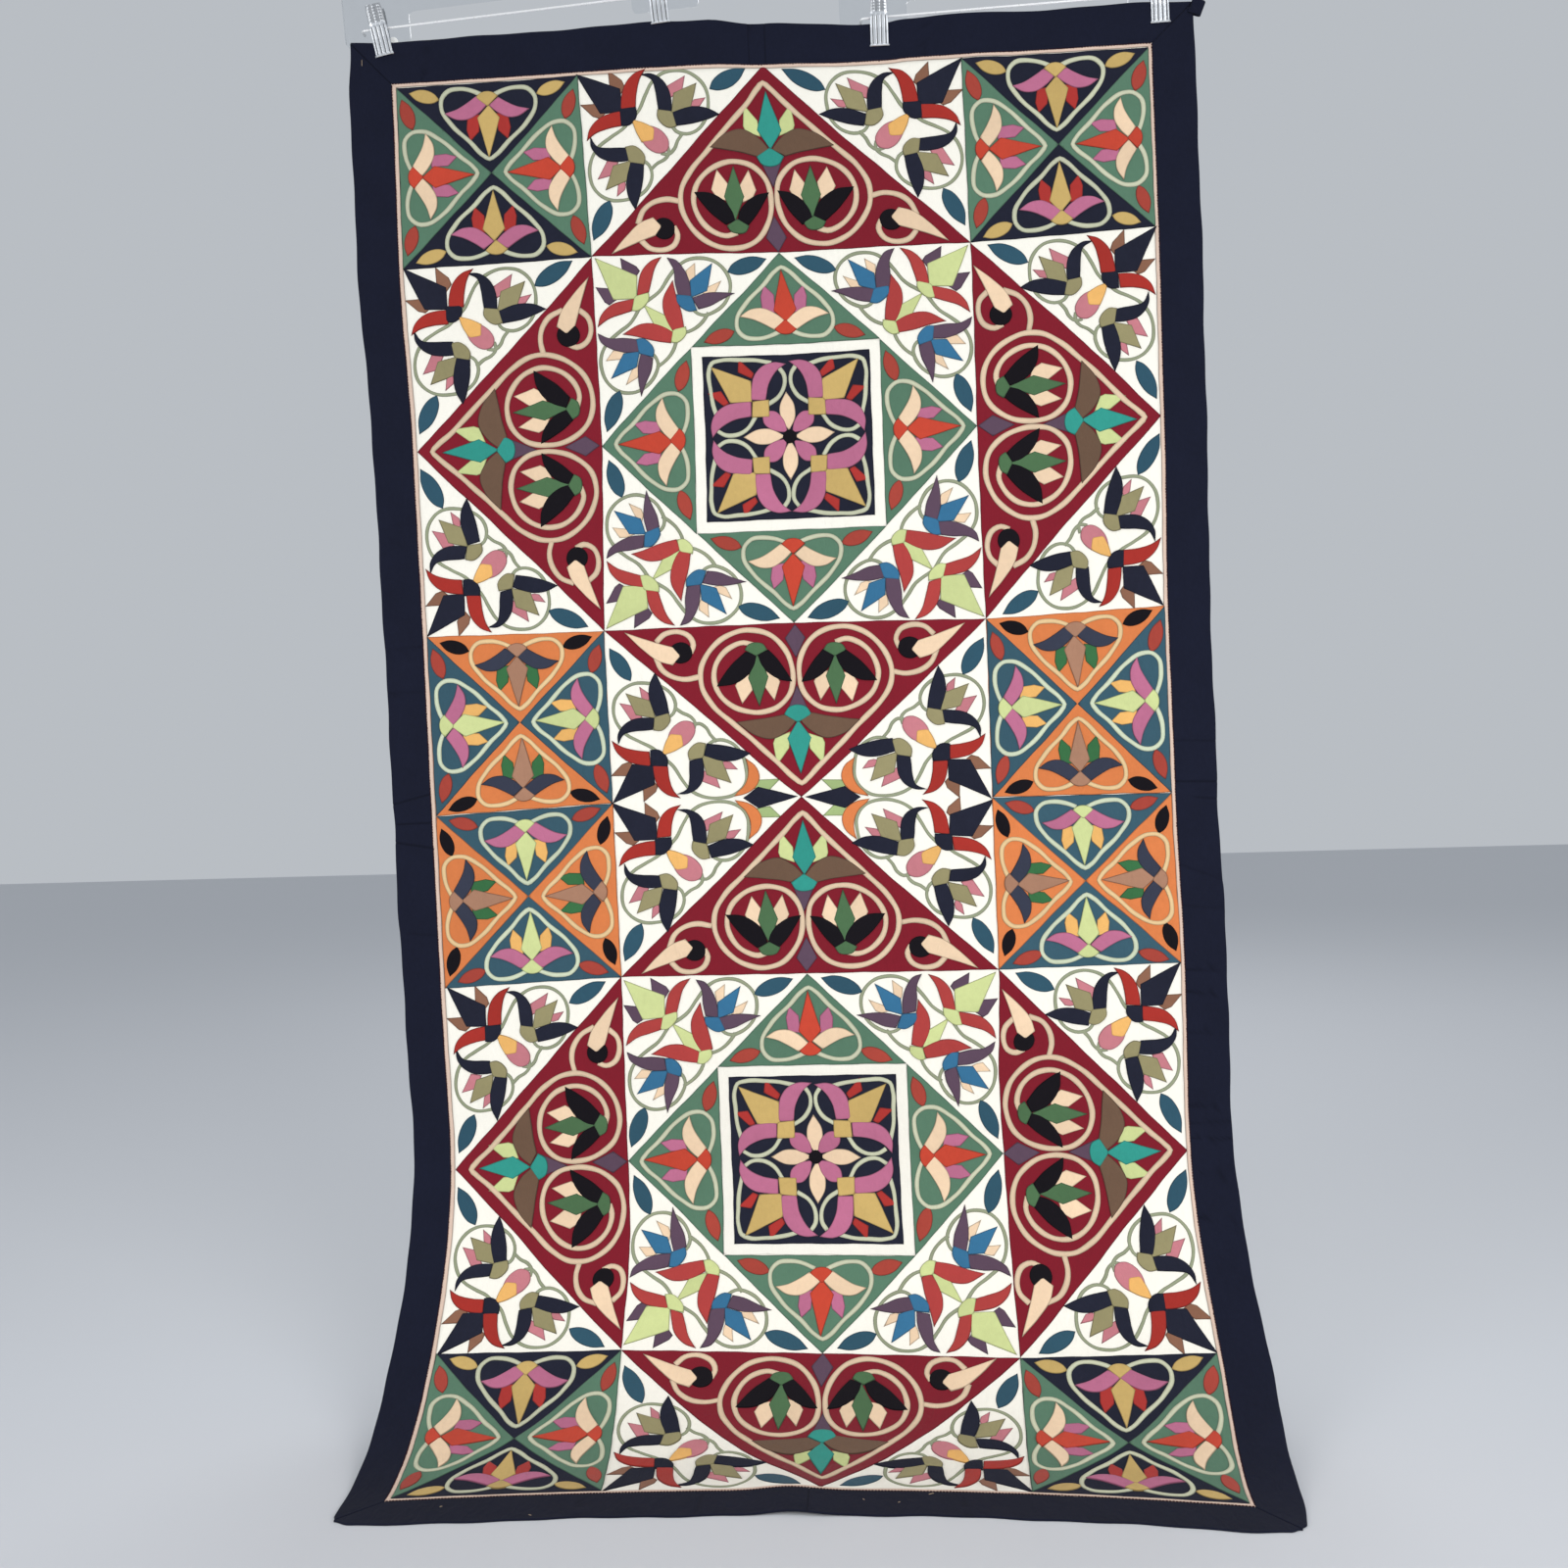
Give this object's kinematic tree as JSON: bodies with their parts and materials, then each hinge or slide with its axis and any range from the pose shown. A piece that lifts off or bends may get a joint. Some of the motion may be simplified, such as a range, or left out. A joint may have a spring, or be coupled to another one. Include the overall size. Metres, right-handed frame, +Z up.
{
  "type": "applique wall hanging with clip hangers",
  "caption": "Tall applique tapestry of lotus squares and triangles in a dark border, clipped to clear bar hangers, its foot lying forward on the floor.",
  "frame": {"origin": "midway between the crowns of the two hooks, where a rail carries them, in the hooks' plane", "axes": "+Z up, +X to the right of the pattern as seen from its face, -Y the way the face looks"},
  "size_m": [1.0459, 0.4313, 1.7939],
  "materials": {
    "cream_cloth": "matte",
    "border_cloth": "matte",
    "edging_cloth": "matte",
    "dark_red_cloth": "matte",
    "green_cloth": "matte",
    "navy_cloth": "matte",
    "orange_cloth": "matte",
    "teal_cloth": "matte",
    "clip_metal": "polished",
    "wire_metal": "polished",
    "clear_plastic": "clear gloss"
  },
  "bodies": {
    "root": {"ground_cloth": "cream_cloth", "white_square_1": "cream_cloth", "white_square_2": "cream_cloth", "border_top": "border_cloth", "border_bottom": "border_cloth", "border_left": "border_cloth", "border_right": "border_cloth", "corner_tuck": "border_cloth", "edging_top": "edging_cloth", "edging_right": "edging_cloth", "edging_bottom": "edging_cloth", "edging_left": "edging_cloth", "red_triangle_1": "dark_red_cloth", "red_triangle_2": "dark_red_cloth", "red_triangle_3": "dark_red_cloth", "red_triangle_4": "dark_red_cloth", "red_triangle_5": "dark_red_cloth", "red_triangle_6": "dark_red_cloth", "red_triangle_7": "dark_red_cloth", "red_triangle_8": "dark_red_cloth", "green_triangle_1": "green_cloth", "green_triangle_2": "green_cloth", "green_triangle_3": "green_cloth", "green_triangle_4": "green_cloth", "green_triangle_5": "green_cloth", "green_triangle_6": "green_cloth", "green_triangle_7": "green_cloth", "green_triangle_8": "green_cloth", "centre_square_1": "navy_cloth", "centre_square_2": "navy_cloth", "corner_square_1": "navy_cloth", "corner_square_2": "navy_cloth", "corner_square_3": "navy_cloth", "corner_square_4": "navy_cloth", "side_square_1": "orange_cloth", "side_square_2": "orange_cloth", "side_square_3": "teal_cloth", "side_square_4": "teal_cloth", "clip_1": "clip_metal", "clip_2": "clip_metal", "clip_3": "clip_metal", "clip_4": "clip_metal", "hanger_bar_1": "wire_metal", "hanger_bar_2": "wire_metal", "hanger_hook_1": "wire_metal", "hanger_hook_2": "wire_metal", "hanger_arm_1": "clear_plastic", "hanger_arm_2": "clear_plastic"}
  },
  "joints": []
}
